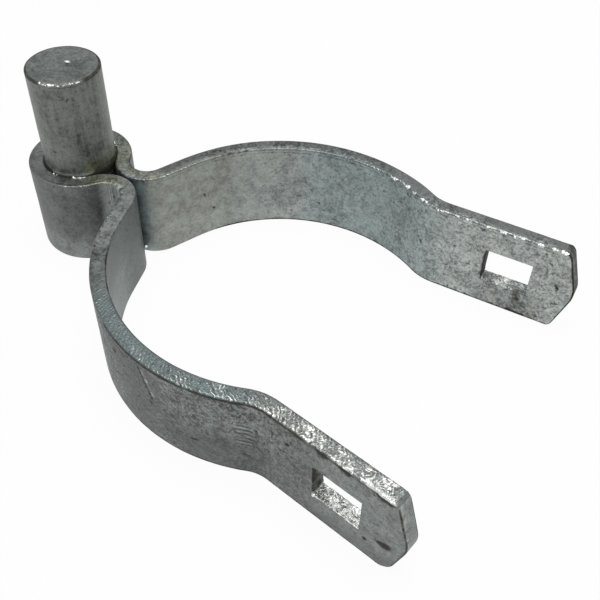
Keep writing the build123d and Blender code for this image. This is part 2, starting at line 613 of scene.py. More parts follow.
@dataclass(frozen=True)
class GalvanisedFinish:
    """Weathered hot-dip zinc: cloudy grey, pitted, stained, and bright where the zinc ran thick, with
    painted glints, painted highlights on pressed ridges, and painted shade in troughs, grooves, gaps and
    under rims.
    """

    name: str
    dull: Colour = (0.060, 0.066, 0.063, 1.0)
    pale: Colour = (0.500, 0.535, 0.518, 1.0)
    cool: Triple = (0.86, 1.02, 1.05)
    warm: Triple = (1.10, 1.03, 0.74)
    # Colour of the pits and specks, and of the painted shade in troughs and grooves.
    pit_and_shade_colour: Colour = (0.030, 0.033, 0.031, 1.0)
    slate: Colour = (0.150, 0.162, 0.159, 1.0)
    # Colour of bright fresh zinc, and of the painted glints on its crests.
    fresh_and_glint_colour: Colour = (0.660, 0.675, 0.650, 1.0)
    # Colour of the stains and of the painted shade lines.
    stain_and_shade_colour: Colour = (0.024, 0.023, 0.016, 1.0)
    least_lightness: float = 0.25
    cloud_size: float = 9 * MM
    cloud_swing: float = 0.40
    patch_size: float = 2.6 * MM
    patch_swing: float = 0.42
    mottle_size: float = 0.8 * MM
    mottle_swing: float = 0.80
    mottle_base: float = 0.4
    worm_size: float = 2.6 * MM
    worm_swing: float = 1.0
    blotch_size: float = 1.5 * MM
    blotch_share: float = 0.75
    speck_size: float = 0.65 * MM
    speck_amount: float = 0.5
    speck_share: float = 0.45
    scribble_size: float = 3.2 * MM
    scribble_share: float = 0.6
    grain_size: float = 0.6 * MM
    curl_size: float = 2.1 * MM
    ridge_spacing: float = 1.15 * MM
    ridge_slant: float = 0.8
    slate_share: float = 0.7
    trough_shade_share: float = 0.85
    tear_size: float = 1.5 * MM
    line_spacing: float = 0.5 * MM
    line_run: float = 9 * MM
    fold_spacing: float = 0.8 * MM
    fold_run: float = 18 * MM
    fold_swing: float = 3.0
    press_spacing: float = 1.3 * MM
    press_sway: float = 6 * MM
    press_light_and_shade: float = 0.75
    dull_roughness: float = 0.50
    swing_roughness: float = 0.3
    slate_roughness: float = 0.38
    fresh_roughness: float = 0.24
    stain_roughness: float = 0.75
    zinc_metallic: float = 0.92
    stain_metallic: float = 0.35
    mottle_relief: float = 0.03 * MM
    line_relief: float = 0.012 * MM
    fold_relief: float = 0.16 * MM
    blotch_relief: float = 0.08 * MM
    crust_relief: float = 0.23 * MM
    press_relief: float = 0.12 * MM

    def material(self, groups: ZincGroups) -> bpy.types.Material:
        """Write the finish as a material.

        Args:
            groups: the shared shader node groups.

        Returns:
            The new material.
        """
        material = bpy.data.materials.new(self.name)
        sheet = NodeSheet.blank(material)
        marks = self.marks(sheet, groups)
        height = sheet.times(marks["Mottle"], self.mottle_relief)
        for name, relief in (
            ("Lines", self.line_relief),
            ("Folded", self.fold_relief),
            ("Blotches", -self.blotch_relief),
            ("Height", self.crust_relief),
            ("Ridge", self.press_relief),
            ("Groove", -self.press_relief),
        ):
            height = sheet.plus(height, sheet.times(marks[name], relief))
        matt = sheet.plus(self.dull_roughness, sheet.times(marks["Swing"], self.swing_roughness))
        roughness = sheet.mix_value(marks["Edge"], matt, self.slate_roughness)
        roughness = sheet.mix_value(marks["Bright"], roughness, self.fresh_roughness)
        shader = sheet.output("ShaderNodeBsdfPrincipled", {
            "Base Color": self.colour(sheet, marks),
            "Roughness": sheet.mix_value(marks["Grime"], roughness, self.stain_roughness),
            "Metallic": sheet.mix_value(marks["Grime"], self.zinc_metallic, self.stain_metallic),
            "Normal": sheet.output("ShaderNodeBump", {"Strength": 1.0, "Distance": 1.0, "Height": height}),
        })
        sheet.add("ShaderNodeOutputMaterial", {"Surface": shader})
        return material

    def marks(self, sheet: NodeSheet, groups: ZincGroups) -> Marks:
        """Read what lies on the surface.

        Args:
            sheet: the material's sheet.
            groups: the shared shader node groups.

        Returns:
            The masks and values by name.
        """
        place = sheet.add("ShaderNodeTexCoord").outputs["Object"]
        flat = sheet.attribute(FLAT_ATTRIBUTE, "Vector")
        parts = sheet.parts_of(flat)
        upright = sheet.vector_of(X=parts["Z"], Z=parts["X"])
        marks = {coat.value: sheet.attribute(coat.value) for coat in Coat}
        pits = marks[Coat.PITS.value]
        marks |= sheet.group(groups.cloud, {
            "Vector": place,
            "Cloud Size": self.cloud_size,
            "Patch Size": self.patch_size,
            "Mottle Size": self.mottle_size,
            "Worm Size": self.worm_size,
        }).items()
        for name, group, size, amount in (
            ("Blotches", groups.blotches, self.blotch_size, pits),
            ("Specks", groups.blotches, self.speck_size, sheet.plus(pits, self.speck_amount)),
            ("Scribbles", groups.scribbles, self.scribble_size, pits),
        ):
            feeds = {"Vector": place, "Size": size, "Amount": amount}
            marks[name] = sheet.group(group, feeds)["Mask"]
        marks |= sheet.group(groups.crust, {
            "Vector": place,
            "Flat": flat,
            "Crust": marks[Coat.CRUST.value],
            "Grain Size": self.grain_size,
            "Curl Size": self.curl_size,
            "Ridge Spacing": self.ridge_spacing,
            "Ridge Slant": self.ridge_slant,
        }).items()
        # Stains and painted shade lines, with torn edges.
        feeds = {"Vector": place, "Amount": marks[Coat.GRIME.value], "Tear Size": self.tear_size}
        marks["Grime"] = sheet.group(groups.ragged, feeds)["Mask"]
        feeds = {"Vector": flat, "Spacing": self.line_spacing, "Run": self.line_run}
        marks["Lines"] = sheet.group(groups.lines, feeds)["Lines"]
        feeds = {"Vector": upright, "Spacing": self.fold_spacing, "Run": self.fold_run}
        folds = sheet.centred(sheet.group(groups.lines, feeds)["Lines"])
        marks["Folded"] = sheet.times(folds, marks[Coat.FOLDS.value])
        feeds = {"Vector": flat, "Spacing": self.press_spacing, "Sway Size": self.press_sway}
        marks |= sheet.group(groups.strokes, feeds | {"Amount": marks[Coat.PRESS.value]}).items()
        marks["Swing"] = self.swing(sheet, marks)
        return marks

    def swing(self, sheet: NodeSheet, marks: Marks) -> Wire:
        """Add up how much lighter or darker than its tone the zinc is.

        Args:
            sheet: the material's sheet.
            marks: the masks and values by name.

        Returns:
            The swing, as a share around 0.
        """
        pits = marks[Coat.PITS.value]
        swing = sheet.times(marks["Folded"], self.fold_swing)
        for name, strength in (
            ("Cloud", self.cloud_swing),
            ("Patch", self.patch_swing),
            ("Mottle", sheet.times(sheet.plus(pits, self.mottle_base), self.mottle_swing)),
            ("Worms", sheet.times(sheet.times(pits, pits), self.worm_swing)),
        ):
            swing = sheet.plus(swing, sheet.times(sheet.centred(marks[name]), strength))
        return swing

    def colour(self, sheet: NodeSheet, marks: Marks) -> Wire:
        """Lay the colours over each other, from the plain zinc to the stains, the painted highlights and the
        painted shade.

        Args:
            sheet: the material's sheet.
            marks: the masks and values by name.

        Returns:
            The colour.
        """
        tint = marks[Coat.TINT.value]
        # Painted highlights on the pressed ridges.
        ridge_highlight = sheet.times(marks["Ridge"], self.press_light_and_shade)
        lightness = sheet.plus(sheet.plus(marks["Swing"], 1.0), ridge_highlight)
        plain = sheet.mix_colour(marks[Coat.TONE.value], self.dull, self.pale)
        colour = sheet.scaled(plain, sheet.math("MAXIMUM", lightness, self.least_lightness))
        for name, share, layer in (
            ("Scribbles", self.scribble_share, self.pit_and_shade_colour),
            ("Specks", self.speck_share, self.pit_and_shade_colour),
            ("Blotches", self.blotch_share, self.pit_and_shade_colour),
            # Painted shade in the grooves under the pressed ridges.
            ("Groove", self.press_light_and_shade, self.pit_and_shade_colour),
            ("Edge", self.slate_share, self.slate),
        ):
            colour = sheet.mix_colour(sheet.times(marks[name], share), colour, layer)
        for share, shade in ((tint, self.cool), (sheet.minus(0.0, tint), self.warm)):
            colour = sheet.mix_colour(share, colour, sheet.vector_math("MULTIPLY", colour, shade))
        # Bright fresh zinc with painted glints on the crests, then painted shade in the troughs.
        colour = sheet.mix_colour(marks["Bright"], colour, self.fresh_and_glint_colour)
        colour = sheet.mix_colour(sheet.times(marks["Crease"], self.trough_shade_share), colour, self.pit_and_shade_colour)
        # Stains, and painted shade in gaps, slot walls, at the tips and under rims and beads.
        return sheet.mix_colour(marks["Grime"], colour, self.stain_and_shade_colour)


class ZincTrees:
    """The Geometry Nodes trees that bend the bar, coat it with zinc and set beads on it."""

    def __init__(self) -> None:
        """Build each tree once."""
        self.bend = self.build_bend()
        self.coat = self.build_coat()
        self.beads = self.build_beads()

    @staticmethod
    def close(sheet: GroupSheet, geometry: Wire, material: Wire) -> Group:
        """End a tree with smooth shading, Realize Instances and Set Material.

        Args:
            sheet: the tree's sheet.
            geometry: what the tree has made.
            material: the material that it gets.

        Returns:
            The finished tree.
        """
        smooth = sheet.output("GeometryNodeSetShadeSmooth", {"Geometry": geometry})
        real = sheet.output("GeometryNodeRealizeInstances", {"Geometry": smooth})
        feeds = {"Geometry": real, "Material": material}
        return sheet.give(Geometry=sheet.output("GeometryNodeSetMaterial", feeds))

    @staticmethod
    def swollen(sheet: GroupSheet, geometry: Wire, reach: Wire) -> Wire:
        """Move a surface out along its normals."""
        offset = sheet.scaled(sheet.output("GeometryNodeInputNormal"), reach)
        return sheet.output("GeometryNodeSetPosition", {"Geometry": geometry, "Offset": offset})

    @classmethod
    def build_bend(cls) -> Group:
        """Build the tree that lays the flat bar along a bend line: X runs along it and Y out of it.

        Returns:
            The finished tree.
        """
        inputs = {
            "Geometry": Socket.GEOMETRY,
            "Bend Line": Socket.OBJECT,
            "Half Length": 170 * MM,
            "Material": Socket.MATERIAL,
        }
        sheet = GroupSheet("bend_bar", Tree.GEOMETRY, inputs, ("Geometry",))
        geometry, guide, half_length, material = sheet.inputs
        line = sheet.add("GeometryNodeObjectInfo", {"Object": guide}).outputs["Geometry"]
        place = sheet.parts_of(sheet.output("GeometryNodeInputPosition"))
        feeds = {"Curves": line, "Length": sheet.plus(place["X"], half_length)}
        sampled = sheet.add("GeometryNodeSampleCurve", feeds, mode="LENGTH", use_all_curves=False).outputs
        outward = sheet.vector_math("CROSS_PRODUCT", (0.0, 0.0, 1.0), sampled["Tangent"])
        shifted = sheet.vector_math("ADD", sampled["Position"], sheet.scaled(outward, place["Y"]))
        bent = sheet.vector_math("ADD", shifted, sheet.vector_of(Z=place["Z"]))
        feeds = {"Geometry": geometry, "Position": bent}
        return cls.close(sheet, sheet.output("GeometryNodeSetPosition", feeds), material)

    @classmethod
    def build_coat(cls) -> Group:
        """Build the tree that lays zinc on a piece: shallow waves all over and lumps where it ran.

        Returns:
            The finished tree.
        """
        inputs = {
            "Geometry": Socket.GEOMETRY,
            "Wave Size": 6 * MM,
            "Wave Height": 0.08 * MM,
            "Lump Size": 1.4 * MM,
            "Lump Height": 0.4 * MM,
            "Seed": 3,
            "Material": Socket.MATERIAL,
        }
        seed_step = (1.0, 0.6, 0.3)
        crust_power = 2.0
        sheet = GroupSheet("coat_with_zinc", Tree.GEOMETRY, inputs, ("Geometry",))
        geometry, wave_size, wave_height, lump_size, lump_height, seed, material = sheet.inputs
        place = sheet.output("GeometryNodeInputPosition")
        seeded = sheet.vector_math("ADD", place, sheet.scaled(seed_step, seed))
        wave = sheet.centred(sheet.noise(seeded, wave_size, detail=1.5))
        lump = sheet.rise(sheet.noise(seeded, lump_size, detail=2.0, roughness=0.6), low=0.3, high=0.75)
        thick = sheet.math("POWER", sheet.stored(Coat.CRUST.value), crust_power)
        run = sheet.times(sheet.times(lump, thick), lump_height)
        reach = sheet.plus(sheet.times(wave, wave_height), run)
        return cls.close(sheet, cls.swollen(sheet, geometry, reach), material)

    @classmethod
    def build_beads(cls) -> Group:
        """Build the tree that sets a flattened, uneven bead of zinc on each point.

        Returns:
            The finished tree.
        """
        inputs = {
            "Geometry": Socket.GEOMETRY,
            "Flatness": 0.55,
            "Uneven Size": 0.7 * MM,
            "Uneven Height": 0.16 * MM,
            "Seed": 5,
            "Material": Socket.MATERIAL,
        }
        most_turn = (0.5, 0.5, 2 * math.pi)
        sheet = GroupSheet("set_beads", Tree.GEOMETRY, inputs, ("Geometry",))
        points, flatness, uneven_size, uneven_height, seed, material = sheet.inputs
        drop = sheet.add("GeometryNodeMeshIcoSphere", {"Radius": 1.0, "Subdivisions": 2}).outputs["Mesh"]
        scale = sheet.scaled(sheet.vector_of(X=1.0, Y=1.0, Z=flatness), sheet.stored(BEAD_ATTRIBUTE))
        feeds = {"Max": most_turn, "Seed": seed}
        turn = sheet.output("FunctionNodeRandomValue", feeds, data_type="FLOAT_VECTOR")
        feeds = {"Points": points, "Instance": drop, "Scale": scale, "Rotation": turn}
        beads = sheet.output("GeometryNodeInstanceOnPoints", feeds)
        real = sheet.output("GeometryNodeRealizeInstances", {"Geometry": beads})
        place = sheet.output("GeometryNodeInputPosition")
        uneven = sheet.centred(sheet.noise(place, uneven_size, detail=2.0))
        return cls.close(sheet, cls.swollen(sheet, real, sheet.times(uneven, uneven_height)), material)


@dataclass(frozen=True)
class ZincCoat:
    """The relief of the zinc on one piece: its shallow waves, and its lumps where it ran thick."""

    wave_size: float
    wave_height: float
    lump_size: float
    lump_height: float
    seed: int

    def lay(self, piece: Piece, trees: ZincTrees, material: bpy.types.Material) -> None:
        """Coat a piece, and keep what its trees make of it as its mesh.

        Args:
            piece: the piece.
            trees: the Geometry Nodes trees.
            material: the piece's finish.
        """
        run_tree(piece, trees.coat, {
            "Wave Size": self.wave_size,
            "Wave Height": self.wave_height,
            "Lump Size": self.lump_size,
            "Lump Height": self.lump_height,
            "Seed": self.seed,
            "Material": material,
        })
        settle(piece)


@dataclass
class BendLine:
    """The middle of the strap's thickness seen from above, the same on both halves.

    The half is measured from the back of the eye to the tip of the ear.
    """

    pin_radius: float
    bow_inside_radius: float
    thickness: float
    eye_clearance: float = 0.05 * MM
    pinch_gap: float = 0.6 * MM
    pinch_radius: float = 6.8 * MM
    shank_length: float = 7.8 * MM
    knee_radius: float = 12.0 * MM
    knee_angle: float = math.radians(31.0)
    ear_splay: float = math.radians(6.0)
    ear_length: float = 36.5 * MM
    sample_step: float = 0.5 * MM

    def __post_init__(self) -> None:
        """Work out each run's length and turn from the sizes."""
        self.eye_radius = self.pin_radius + self.eye_clearance + self.thickness / 2
        bow_radius = self.bow_inside_radius + self.thickness / 2
        pinch_out = self.pinch_radius + self.thickness / 2 + self.pinch_gap / 2
        pinch_back = math.sqrt((bow_radius + self.pinch_radius) ** 2 + self.shank_length**2 - pinch_out**2)
        pinch_angle = math.asin(pinch_out / (self.eye_radius + self.pinch_radius))
        self.pin_offset = pinch_back + (self.eye_radius + self.pinch_radius) * math.cos(pinch_angle)
        shank_angle = math.atan2(bow_radius + self.pinch_radius, self.shank_length)
        heading = math.atan2(pinch_out, pinch_back) - shank_angle
        eye_turn = math.pi - pinch_angle
        pinch_turn = heading - (eye_turn - math.pi / 2)
        bow_turn = self.knee_angle - self.ear_splay - heading
        self.runs = (
            (self.eye_radius * eye_turn, eye_turn),
            (self.pinch_radius * -pinch_turn, pinch_turn),
            (self.shank_length, 0.0),
            (bow_radius * bow_turn, bow_turn),
            (self.knee_radius * self.knee_angle, -self.knee_angle),
            (self.ear_length, 0.0),
        )
        self.half_length = sum(length for length, _ in self.runs)

    def half_points(self, step: float) -> np.ndarray:
        """Walk the half on the -Y side.

        Args:
            step: the longest distance between two points.

        Returns:
            The points in plan, from the back of the eye to the tip.
        """
        place = np.array([-self.pin_offset - self.eye_radius, 0.0])
        heading = -math.pi / 2
        walked = [place[None]]
        for length, turn in self.runs:
            share = np.linspace(0.0, 1.0, math.ceil(length / step) + 1)[1:]
            if turn:
                radius = length / turn
                centre = place + radius * np.array([-math.sin(heading), math.cos(heading)])
                angles = heading + share * turn
                points = centre + radius * np.column_stack([np.sin(angles), -np.cos(angles)])
            else:
                points = place + np.outer(share * length, [math.cos(heading), math.sin(heading)])
            walked.append(points)
            place = points[-1]
            heading += turn
        return np.concatenate(walked)

    def far_places(self, along: np.ndarray, out: float) -> np.ndarray:
        """Find points of the half on the +Y side.

        Args:
            along: distances from the back of the eye.
            out: distance from the middle of the thickness, positive away from the post.

        Returns:
            The points in plan.
        """
        plan = self.half_points(self.sample_step) * [1.0, -1.0]
        walked = np.append(0.0, np.cumsum(np.linalg.norm(np.diff(plan, axis=0), axis=1)))
        heading = np.gradient(plan, walked, axis=0)
        shifted = plan + out * np.column_stack([-heading[:, 1], heading[:, 0]])
        return np.column_stack([np.interp(along, walked, shifted[:, axis]) for axis in range(2)])

    def curve(self, step: float) -> Piece:
        """Draw the whole line as a curve object, from the -Y tip round the eye to the +Y tip.

        Args:
            step: the longest distance between two points.

        Returns:
            The curve object.
        """
        near = self.half_points(step)
        plan = np.concatenate([near[::-1], near[1:] * [1.0, -1.0]])
        shape = bpy.data.curves.new("bend_line", "CURVE")
        shape.dimensions = "3D"
        spline = shape.splines.new("POLY")
        spline.points.add(len(plan) - 1)
        places = np.column_stack([plan, np.zeros(len(plan)), np.ones(len(plan))])
        spline.points.foreach_set("co", places.ravel())
        return new_object("bend_line", shape)


class Surface(Protocol):
    """A piece's surface as its coats see it: a place along and across it for each vertex."""

    along: np.ndarray
    across: np.ndarray

    def share_of(self, face: Face) -> np.ndarray:
        """Say how much each vertex belongs to a face, from 0 to 1."""


@dataclass(frozen=True)
class Zone:
    """A patch that gets more of a coat, fading out round it."""

    along: Span
    across: Span = (-10.0, 100.0)
    amount: float = 1.0
    fade: float = 4.0
    along_fade: float | None = None

    def share(self, surface: Surface) -> np.ndarray:
        """Give the amount at each vertex of a surface.

        Args:
            surface: the surface.

        Returns:
            The amounts.
        """
        along_fade = self.fade if self.along_fade is None else self.along_fade
        along = window(surface.along, *self.along, along_fade)
        return self.amount * along * window(surface.across, *self.across, self.fade)


@dataclass(frozen=True)
class Course:
    """A coat that swells and thins along a face, from station to station: each a place and an amount."""

    stations: tuple[Span, ...]

    def share(self, surface: Surface) -> np.ndarray:
        """Give the amount at each vertex of a surface."""
        places, amounts = zip(*self.stations)
        return np.interp(surface.along, places, amounts)


@dataclass(frozen=True)
class Stroke:
    """A coat along a thin line, from its start to its end as places along and across."""

    start: Span
    end: Span
    amount: float = 1.0
    width: float = 0.6
    core: float = 0.3

    def share(self, surface: Surface) -> np.ndarray:
        """Give the amount at each vertex of a surface.

        Args:
            surface: the surface.

        Returns:
            The amounts.
        """
        places = np.column_stack([surface.along, surface.across])
        run = np.subtract(self.end, self.start)
        reached = np.clip((places - self.start) @ run / (run @ run), 0.0, 1.0)
        off = np.linalg.norm(places - self.start - np.outer(reached, run), axis=1)
        return self.amount * (1.0 - rise(off, self.core * self.width, self.width))


@dataclass(frozen=True)
class Dressing:
    """All that is laid of one coat on one face."""

    coat: Coat
    face: Face
    layers: tuple[Zone | Course | Stroke, ...]


def add_coats(
    surface: Surface, bases: dict[Coat, float], dressings: tuple[Dressing, ...]
) -> dict[Coat, np.ndarray]:
    """Add up what the dressings put on each vertex.

    Args:
        surface: the surface that they lie on.
        bases: the amounts that a coat has all over.
        dressings: what is laid of each coat on each face.

    Returns:
        The amount of each coat at every vertex.
    """
    coats = {coat: np.full(len(surface.along), bases.get(coat, 0.0)) for coat in Coat}
    for dressing in dressings:
        share = surface.share_of(dressing.face)
        for layer in dressing.layers:
            coats[dressing.coat] += layer.share(surface) * share
    return coats


@dataclass
class FlatBar:
    """The bar before it is bent: a closed mesh with slots, pointed tips and rounded rims.

    X runs along the bar from its middle, Y out of its thickness and Z across it. Its coats are laid
    in millimetres: along from the back of the eye, below zero on the -Y half, across from the foot.
    """

    half_length: float
    width: float
    thickness: float
    tip_rise: float = 3.8 * MM
    tip_nose: float = 8.0 * MM
    tip_corner: float = 1.5 * MM
    worn_corner: float = 3.6 * MM
    slot_length: float = 12.2 * MM
    slot_height: float = 10.0 * MM
    slot_setback: float = 11.8 * MM
    rim_round: float = 0.45 * MM
    tip_round: float = 0.3 * MM
    slot_round: float = 0.3 * MM
    along_step: float = 0.5 * MM
    across_step: float = 0.85 * MM
    wall_layers: int = 8
    rim_shares: tuple[float, ...] = (0.0, 0.08, 0.27, 0.57, 1.0, 1.7, 2.7)
    edge_margin: float = 0.12 * MM
    slot_margin: float = 0.02 * MM
    rim_width: float = 0.5 * MM
    rim_depth: float = 0.75 * MM
    top_band: float = 0.72 * MM
    tip_band: float = 0.6 * MM
    tip_rim_band: float = 1.0 * MM
    slot_band: float = 0.24 * MM
    side_band: Span = (0.2 * MM, 1.6 * MM)

    def __post_init__(self) -> None:
        """Lay the bar out."""
        self.slot_outer = self.half_length - self.slot_setback
        self.slot_inner = self.slot_outer - self.slot_length
        self.slot_low = (self.width - self.slot_height) / 2
        self.slot_high = self.width - self.slot_low
        self.lay_out()

    def along_lines(self) -> np.ndarray:
        """Set out the lines that cross the bar.

        Returns:
            Their places along the bar.
        """
        tip = self.tip_round * np.array(self.rim_shares)
        slot = self.slot_round * np.array(self.rim_shares)
        half = np.concatenate([
            spread(0.0, self.slot_inner - slot[-1], self.along_step),
            self.slot_inner - slot[::-1],
            spread(self.slot_inner, self.slot_outer, self.along_step)[1:],
            self.slot_outer + slot[:-1],
            spread(self.slot_outer + slot[-1], self.half_length - tip[-1], self.along_step),
            self.half_length - tip[::-1],
        ])
        return np.concatenate([-half[:0:-1], half])

    def across_lines(self) -> np.ndarray:
        """Set out the lines that run along the bar.

        Returns:
            Their places across the bar.
        """
        rim = self.rim_round * np.array(self.rim_shares)
        slot = self.slot_round * np.array(self.rim_shares[:-1])
        half = np.concatenate([
            rim[:-1],
            spread(rim[-1], self.slot_low - slot[-1], self.across_step),
            self.slot_low - slot[::-1],
            spread(self.slot_low, self.width / 2, self.across_step)[1:],
        ])
        return np.concatenate([half, [self.width / 2], self.width - half[::-1]])

    def tip_reach(self, along: np.ndarray, across: np.ndarray) -> np.ndarray:
        """Give how far the pointed tips reach at each height.

        Args:
            along: places along the bar, below zero on the half whose lower corner is worn rounder.
            across: the heights.

        Returns:
            The reach from the middle of the bar.
        """
        off = np.abs(across - self.width / 2)
        slope = math.atan2(self.tip_rise, self.width / 2)
        nose = np.minimum(off, self.tip_nose * math.sin(slope))
        rounded = self.tip_nose / math.cos(slope) - np.sqrt(self.tip_nose**2 - nose**2)
        cropped = rounded + (off - nose) * math.tan(slope)
        worn = (along < 0.0) & (across < self.width / 2)
        radius = np.where(worn, self.worn_corner, self.tip_corner)
        into = np.clip(off - (self.width / 2 - radius), 0.0, radius)
        return self.half_length - cropped - radius + np.sqrt(radius**2 - into**2)

    @staticmethod
    def rim_drop(depth: np.ndarray, radius: float) -> np.ndarray:
        """Give how far a face falls at a distance from its rim, as a quarter round."""
        inside = np.clip(radius - depth, 0.0, radius)
        return radius - np.sqrt(radius**2 - inside**2)

    def lay_out(self) -> None:
        """Make the vertices, faces and the places that the coats are measured by."""
        along = self.along_lines()
        across = self.across_lines()
        grid_along, grid_across = (grid.ravel() for grid in np.meshgrid(along, across, indexing="ij"))
        # Past the slots, the lines are drawn in to the pointed tips.
        past_slot = np.clip(np.abs(grid_along) - self.slot_outer - self.slot_round, 0.0, None)
        tip_span = self.half_length - self.slot_outer - self.slot_round
        short = self.half_length - self.tip_reach(grid_along, grid_across)
        pulled = past_slot * short / tip_span
        plan_along = grid_along - np.sign(grid_along) * pulled

        # The faces fall off in a quarter round at the rims, the tips and the slots.
        to_rim = np.minimum(grid_across, self.width - grid_across)
        to_tip = self.half_length - np.abs(grid_along)
        slot_along = np.maximum(self.slot_inner - np.abs(grid_along), np.abs(grid_along) - self.slot_outer)
        slot_across = np.maximum(self.slot_low - grid_across, grid_across - self.slot_high)
        to_slot = np.maximum(slot_along, slot_across)
        drop = np.maximum(self.rim_drop(to_rim, self.rim_round), self.rim_drop(to_tip, self.tip_round))
        drop = np.maximum(drop, self.rim_drop(np.clip(to_slot, 0.0, None), self.slot_round))
        half_out = self.thickness / 2 - drop

        # Both sides come first, then the walls between them, in layers.
        kept = self.kept_cells(along, across)
        count = len(grid_along)
        index = np.arange(count).reshape(len(along), len(across))
        faces = self.side_faces(index, kept, count)
        wall_pairs = self.wall_edges(index, kept)
        rim_points = np.unique(wall_pairs)
        layer_shares = np.linspace(-1.0, 1.0, self.wall_layers + 1)
        stacks = np.zeros((count, self.wall_layers + 1), int)
        stacks[rim_points, 0] = rim_points
        stacks[rim_points, -1] = rim_points + count
        inner = np.arange(len(rim_points) * (self.wall_layers - 1)).reshape(len(rim_points), -1)
        stacks[rim_points, 1:-1] = 2 * count + inner
        for layer in range(self.wall_layers):
            low, high = stacks[wall_pairs, layer], stacks[wall_pairs, layer + 1]
            faces.append(np.column_stack([low[:, 0], low[:, 1], high[:, 1], high[:, 0]]))

        # Only the points that a face uses are kept, with their places on the flat bar.
        wall_out = half_out[rim_points, None] * layer_shares[1:-1]
        wall_source = np.repeat(rim_points, self.wall_layers - 1)
        out = np.concatenate([-half_out, half_out, wall_out.ravel()])
        source = np.concatenate([np.arange(count), np.arange(count), wall_source])
        every_face = np.concatenate(faces)
        used, renumbered = np.unique(every_face, return_inverse=True)
        self.vertices = np.column_stack([plan_along[source], out, grid_across[source]])[used]
        self.places = np.column_stack([grid_along[source], out, grid_across[source]])[used]
        self.along = self.places[:, 0] / MM
        self.across = self.places[:, 2] / MM
        self.to_slot = to_slot[source][used]
        self.faces = renumbered.reshape(every_face.shape).tolist()

    def kept_cells(self, along: np.ndarray, across: np.ndarray) -> np.ndarray:
        """Tell the cells of the layout that are metal from those that are slot.

        Args:
            along: the places of the lines that cross the bar.
            across: the places of the lines that run along it.

        Returns:
            Whether each cell is metal.
        """
        middle_along = np.abs(along[1:] + along[:-1]) / 2
        middle_across = (across[1:] + across[:-1]) / 2
        in_along = (middle_along > self.slot_inner) & (middle_along < self.slot_outer)
        in_across = (middle_across > self.slot_low) & (middle_across < self.slot_high)
        return ~np.outer(in_along, in_across)

    @staticmethod
    def side_faces(index: np.ndarray, kept: np.ndarray, count: int) -> list[np.ndarray]:
        """Make the faces of the post side and of the outer side."""
        quads = np.stack([index[:-1, :-1], index[1:, :-1], index[1:, 1:], index[:-1, 1:]], axis=-1)[kept]
        return [quads, quads[:, ::-1] + count]

    @staticmethod
    def wall_edges(index: np.ndarray, kept: np.ndarray) -> np.ndarray:
        """Find the edges between metal and air, turned so that their walls face the air.

        Args:
            index: the layout's points.
            kept: whether each cell is metal.

        Returns:
            The two points of each edge.
        """
        padded = np.pad(kept, 1)
        lower, upper = padded[1:-1, :-1], padded[1:-1, 1:]
        before, after = padded[:-1, 1:-1], padded[1:, 1:-1]
        level = np.stack([index[:-1], index[1:]], axis=-1)
        upright = np.stack([index[:, :-1], index[:, 1:]], axis=-1)
        return np.concatenate([
            level[lower & ~upper],
            level[~lower & upper][:, ::-1],
            upright[~before & after],
            upright[before & ~after][:, ::-1],
        ])

    def share_of(self, face: Face) -> np.ndarray:
        """Say how much each vertex belongs to a face of the bar.

        Args:
            face: the face.

        Returns:
            The shares, from 0 to 1.
        """
        along, out, up = self.places.T
        side = out if face in (Face.OUTER, Face.TOP_OUTER_RIM) else -out
        top = self.width - self.edge_margin
        end = self.half_length - self.edge_margin
        skin = self.thickness / 2 - self.edge_margin
        under_skin = self.thickness / 2 - self.rim_depth
        if face is Face.TOP:
            return rise(up, self.width - self.top_band, top)
        if face is Face.TIP:
            return rise(np.abs(along), self.half_length - self.tip_band, end)
        if face is Face.TIP_RIM:
            at_tip = rise(np.abs(along), self.half_length - self.tip_rim_band, end)
            return at_tip * rise(np.abs(out), under_skin, skin)
        if face is Face.SLOT:
            return 1.0 - rise(self.to_slot, self.slot_margin, self.slot_band)
        if face in (Face.POST, Face.OUTER):
            return rise(side, *self.side_band)
        return rise(up, self.width - self.rim_width, top) * rise(side, under_skin, skin)


